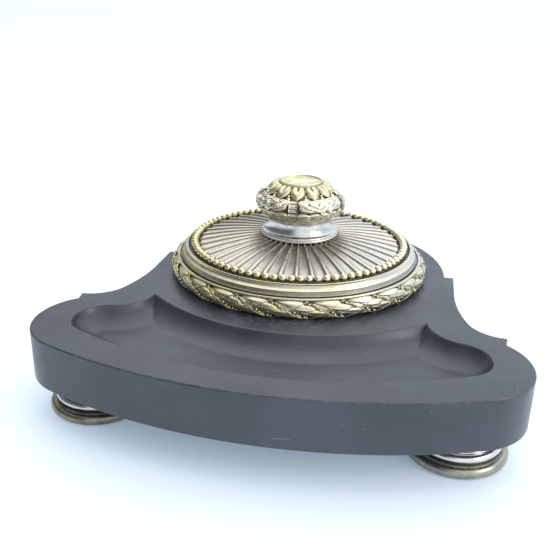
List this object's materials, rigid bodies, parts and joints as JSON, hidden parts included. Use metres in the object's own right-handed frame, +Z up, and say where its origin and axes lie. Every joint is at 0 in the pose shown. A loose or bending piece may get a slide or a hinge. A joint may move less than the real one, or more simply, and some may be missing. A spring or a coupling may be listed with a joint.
{
  "type": "inkwell",
  "caption": "Desk inkwell: stone slab on turned feet with a hollowed pen tray, and a round brass well mount with a hinged, fluted and beaded lid over a glass ink pot.",
  "frame": {"origin": "the centre of the object's base: z = 0 under the feet, x = 0 on the plane of symmetry, y = 0 half way between the slab's front and back edges", "axes": "+X to the right along the longest side, +Y from the pen tray back towards the well and the hinge, +Z up"},
  "size_m": [0.1988, 0.192, 0.0825],
  "materials": {
    "slate": "honed black stone",
    "foot_brass": "dull olive brass, polished neck",
    "gilt_brass": "aged gilt brass, dark in the hollows",
    "fixing_steel": "plain screws, studs, washers and nuts",
    "insert_brass": "plain brass plugs",
    "cork": "sheet cork",
    "pot_glass": "clear pressed glass",
    "knob_silver": "worn silvery plate over brass",
    "star_gilt": "pale yellow gilt"
  },
  "bodies": {
    "base": {"base_slab": "slate", "foot_left": "foot_brass", "foot_right": "foot_brass", "foot_back": "foot_brass", "foot_screws": "fixing_steel", "foot_inserts": "insert_brass", "mount_ring": "gilt_brass", "garland_band": "gilt_brass", "ring_studs": "fixing_steel", "ring_washers": "fixing_steel", "ring_nuts": "fixing_steel", "pot_pad": "cork", "ink_pot": "pot_glass", "pot_collar": "gilt_brass", "hinge_plate": "gilt_brass", "hinge_pin": "insert_brass", "hinge_screws": "fixing_steel", "hinge_inserts": "insert_brass"},
    "lid": {"hinge_leaf": "gilt_brass", "leaf_screws": "fixing_steel", "lid_rim": "gilt_brass", "lid_plate": "gilt_brass", "bead_ring": "gilt_brass", "knob_collar": "knob_silver", "knob_wreath": "knob_silver", "knob_leaf_cap": "knob_silver", "star_disc": "star_gilt", "knob_stud": "fixing_steel", "knob_washer": "fixing_steel", "knob_nut": "fixing_steel"}
  },
  "joints": [
    {"name": "lid_hinge", "type": "hinge", "parent": "base", "child": "lid", "pos_m": [-0.0035, 0.0885, 0.048], "axis": [-1, 0, 0], "range_deg": [0, 100]}
  ]
}
